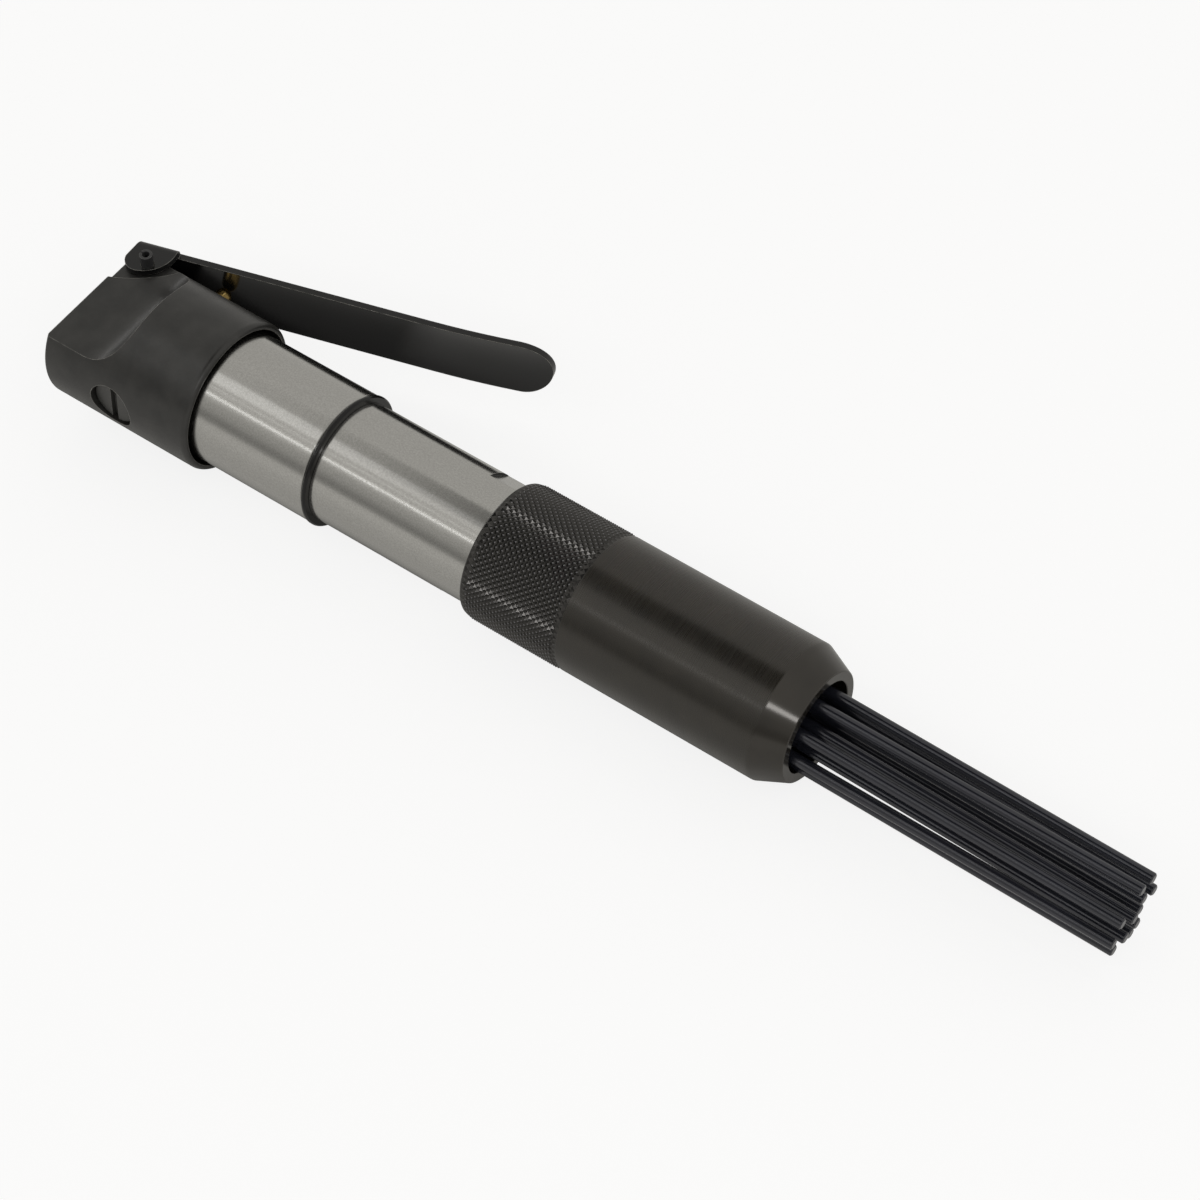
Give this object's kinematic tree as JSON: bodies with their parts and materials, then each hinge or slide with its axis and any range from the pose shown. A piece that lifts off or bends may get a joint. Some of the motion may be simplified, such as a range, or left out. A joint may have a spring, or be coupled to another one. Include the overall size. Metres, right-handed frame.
{
  "type": "needle scaler",
  "caption": "Straight air needle scaler: throttle head with a thumb lever, steel barrel with exhaust sleeve, knurled nose tube and a bundle of sliding needles.",
  "frame": {"origin": "on the tool's axis at the rear face of the head, in the mouth of the air inlet", "axes": "+X along the tool's axis towards the needle tips, +Y towards the lever, +Z along the lever's pivot pin, which points up as the tool lies in the picture"},
  "size_m": [0.324, 0.0769, 0.0426],
  "materials": {
    "blued_head": "black oxide over milled steel, satin",
    "lever_finish": "black, semi-gloss",
    "oxide_tube": "black oxide over turned steel, satin",
    "barrel_steel": "turned and polished",
    "sleeve_steel": "turned and polished",
    "needle_steel": "blued spring steel",
    "plug_steel": "black oxide",
    "pin_steel": "dark spring steel",
    "valve_brass": "turned brass",
    "seal_rubber": "nitrile rubber",
    "ring_rubber": "nitrile rubber",
    "spring_steel": "drawn wire",
    "screen_mesh": "perforated disc",
    "gasket_fibre": "pressed fibre",
    "plate_steel": "ground",
    "piston_steel": "ground and hardened",
    "hardened_steel": "hardened"
  },
  "bodies": {
    "tool": {"head": "blued_head", "inlet_screen": "screen_mesh", "valve_bush": "valve_brass", "stem_seal": "seal_rubber", "valve_spring": "spring_steel", "valve_cap": "plug_steel", "cap_seal": "seal_rubber", "lever_pin": "pin_steel", "head_gasket": "gasket_fibre", "barrel": "barrel_steel", "rear_plate": "plate_steel", "front_plate": "plate_steel", "exhaust_sleeve": "sleeve_steel", "sleeve_ring": "ring_rubber", "anvil_bush": "hardened_steel", "needle_spring": "spring_steel", "needle_guide": "hardened_steel", "nose_tube": "oxide_tube"},
    "lever": {"lever": "lever_finish"},
    "stem": {"valve_stem": "valve_brass", "valve_seal": "seal_rubber"},
    "flutter": {"flutter_disc": "plate_steel"},
    "piston": {"piston": "piston_steel"},
    "anvil": {"anvil": "hardened_steel"},
    "holder": {"needle_holder": "hardened_steel"},
    "needle_01": {"needle_01": "needle_steel"},
    "needle_02": {"needle_02": "needle_steel"},
    "needle_03": {"needle_03": "needle_steel"},
    "needle_04": {"needle_04": "needle_steel"},
    "needle_05": {"needle_05": "needle_steel"},
    "needle_06": {"needle_06": "needle_steel"},
    "needle_07": {"needle_07": "needle_steel"},
    "needle_08": {"needle_08": "needle_steel"},
    "needle_09": {"needle_09": "needle_steel"},
    "needle_10": {"needle_10": "needle_steel"},
    "needle_11": {"needle_11": "needle_steel"},
    "needle_12": {"needle_12": "needle_steel"}
  },
  "joints": [
    {"name": "lever_hinge", "type": "hinge", "parent": "tool", "child": "lever", "pos_m": [0.0062, 0.0154, 0], "axis": [0, 0, -1], "range_deg": [0, 13], "stiffness_Nm_per_rad": 0.4, "springref_deg": -9.17},
    {"name": "stem_slide", "type": "slide", "parent": "tool", "child": "stem", "axis": [0, -1, 0], "range_m": [0, 0.004], "deforming": ["valve_spring"]},
    {"name": "flutter_slide", "type": "slide", "parent": "tool", "child": "flutter", "axis": [1, 0, 0], "range_m": [0, 0.001]},
    {"name": "piston_slide", "type": "slide", "parent": "tool", "child": "piston", "axis": [1, 0, 0], "range_m": [0, 0.0389]},
    {"name": "holder_slide", "type": "slide", "parent": "tool", "child": "holder", "axis": [1, 0, 0], "range_m": [0, 0.008], "stiffness_N_per_m": 2500, "springref_m": -0.012, "deforming": ["needle_spring"]},
    {"name": "anvil_slide", "type": "slide", "parent": "tool", "child": "anvil", "axis": [1, 0, 0], "range_m": [0, 0.008]},
    {"name": "needle_01_slide", "type": "slide", "parent": "holder", "child": "needle_01", "axis": [0.9998, -0.0137, -0.0161], "range_m": [-0.0022, 0.0028]},
    {"name": "needle_02_slide", "type": "slide", "parent": "holder", "child": "needle_02", "axis": [0.9999, -0.0062, -0.0117], "range_m": [-0.0025, 0.0025]},
    {"name": "needle_03_slide", "type": "slide", "parent": "holder", "child": "needle_03", "axis": [1, 0, -0.0081], "range_m": [-0.0031, 0.0019]},
    {"name": "needle_04_slide", "type": "slide", "parent": "holder", "child": "needle_04", "axis": [0.9999, -0.0093, -0.0135], "range_m": [-0.0031, 0.0019]},
    {"name": "needle_05_slide", "type": "slide", "parent": "holder", "child": "needle_05", "axis": [0.9999, -0.0037, -0.0103], "range_m": [-0.0025, 0.0025]},
    {"name": "needle_06_slide", "type": "slide", "parent": "holder", "child": "needle_06", "axis": [0.9999, -0.0062, -0.0117], "range_m": [-0.0014, 0.0036]},
    {"name": "needle_07_slide", "type": "slide", "parent": "holder", "child": "needle_07", "axis": [1, -0.0013, -0.0088], "range_m": [-0.0015, 0.0035]},
    {"name": "needle_08_slide", "type": "slide", "parent": "holder", "child": "needle_08", "axis": [0.9998, -0.0112, -0.0146], "range_m": [-0.0005, 0.0045]},
    {"name": "needle_09_slide", "type": "slide", "parent": "holder", "child": "needle_09", "axis": [0.9999, -0.0062, -0.0117], "range_m": [-0.0022, 0.0028]},
    {"name": "needle_10_slide", "type": "slide", "parent": "holder", "child": "needle_10", "axis": [0.9998, -0.0137, -0.0161], "range_m": [-0.0038, 0.0012]},
    {"name": "needle_11_slide", "type": "slide", "parent": "holder", "child": "needle_11", "axis": [0.9998, -0.0137, -0.0161], "range_m": [-0.0032, 0.0018]},
    {"name": "needle_12_slide", "type": "slide", "parent": "holder", "child": "needle_12", "axis": [0.9998, -0.0112, -0.0146], "range_m": [-0.0027, 0.0023]}
  ],
  "couplings": [
    {"joint": "stem_slide", "follows": "lever_hinge", "m_per_rad": 0.0176},
    {"joint": "anvil_slide", "follows": "holder_slide", "ratio": 1}
  ]
}
